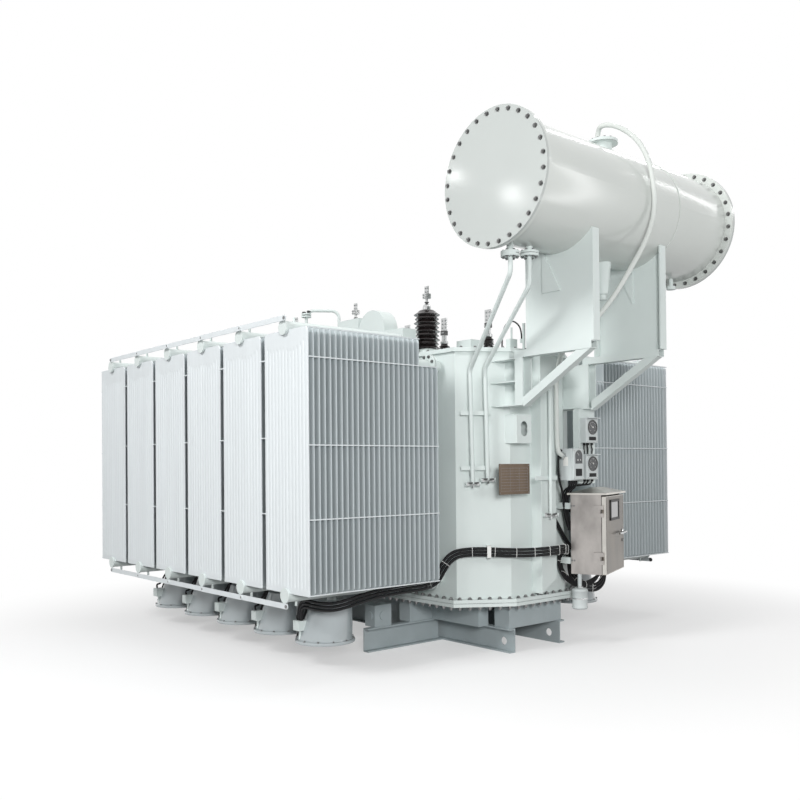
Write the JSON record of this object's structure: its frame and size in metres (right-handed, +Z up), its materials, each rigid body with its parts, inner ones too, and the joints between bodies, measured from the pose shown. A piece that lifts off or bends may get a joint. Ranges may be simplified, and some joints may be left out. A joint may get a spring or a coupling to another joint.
{
  "type": "oil-filled power transformer with panel radiators",
  "caption": "Oil-filled power transformer on steel rails: long octagonal tank, two banks of panel radiators, crosswise expansion vessel and control cabinet.",
  "frame": {"origin": "on the ground, under the middle of the whole", "axes": "+Z up, +X along the tank to the end that carries the expansion vessel, -Y to the near radiator bank"},
  "size_m": [4.848, 4.12, 3.8753],
  "materials": {
    "base_paint": "satin grey paint, a little darker",
    "bright_metal": "plated or cast",
    "cabinet_steel": "brushed stainless sheet",
    "cable_black": "matte",
    "gasket_rubber": "matte",
    "gauge_body": "dark housings",
    "nameplate_metal": "bare etched plate",
    "porcelain": "dark brown glaze",
    "radiator_paint": "satin grey paint on pressed panels",
    "tank_paint": "satin grey paint"
  },
  "bodies": {
    "transformer": {"bearers": "base_paint", "bottom_headers": "tank_paint", "breather_canister": "bright_metal", "breather_pipe": "tank_paint", "bushing_collars": "tank_paint", "cabinet_arms": "tank_paint", "cabinet_case": "cabinet_steel", "cabinet_hinges": "bright_metal", "cabinet_roof": "cabinet_steel", "cables": "cable_black", "cover_fittings": "tank_paint", "cover_hood": "tank_paint", "cross_beams": "base_paint", "end_ribs": "tank_paint", "fans_far": "tank_paint", "fans_near": "tank_paint", "filler_neck": "tank_paint", "gauge_plate": "tank_paint", "gauges": "gauge_body", "hauling_lugs": "tank_paint", "header_straps": "tank_paint", "hv_bushings": "porcelain", "lv_bushings": "porcelain", "nameplate": "nameplate_metal", "oil_pipes": "tank_paint", "panel_bars": "tank_paint", "posts": "tank_paint", "radiator_far_1": "radiator_paint", "radiator_far_2": "radiator_paint", "radiator_far_3": "radiator_paint", "radiator_far_4": "radiator_paint", "radiator_far_5": "radiator_paint", "radiator_far_6": "radiator_paint", "radiator_near_1": "radiator_paint", "radiator_near_2": "radiator_paint", "radiator_near_3": "radiator_paint", "radiator_near_4": "radiator_paint", "radiator_near_5": "radiator_paint", "radiator_near_6": "radiator_paint", "rail_far": "base_paint", "rail_near": "base_paint", "rim_gasket": "gasket_rubber", "saddle_far": "tank_paint", "saddle_near": "tank_paint", "sills": "base_paint", "struts": "tank_paint", "tank_base_plate": "tank_paint", "tank_bell": "tank_paint", "tank_cover": "tank_paint", "terminals": "bright_metal", "top_headers_far": "tank_paint", "top_headers_near": "tank_paint", "vent_loop": "tank_paint", "vessel_barrel": "tank_paint", "vessel_covers": "tank_paint", "vessel_drains": "tank_paint", "wall_brackets": "tank_paint"},
    "cabinet_door_leaf": {"cabinet_door": "cabinet_steel", "door_handle": "bright_metal"}
  },
  "joints": [
    {"name": "cabinet_door_hinge", "type": "hinge", "parent": "transformer", "child": "cabinet_door_leaf", "pos_m": [1.75026, 0.31618, 0.87], "axis": [0, 0, -1], "range_deg": [0, 115]}
  ]
}
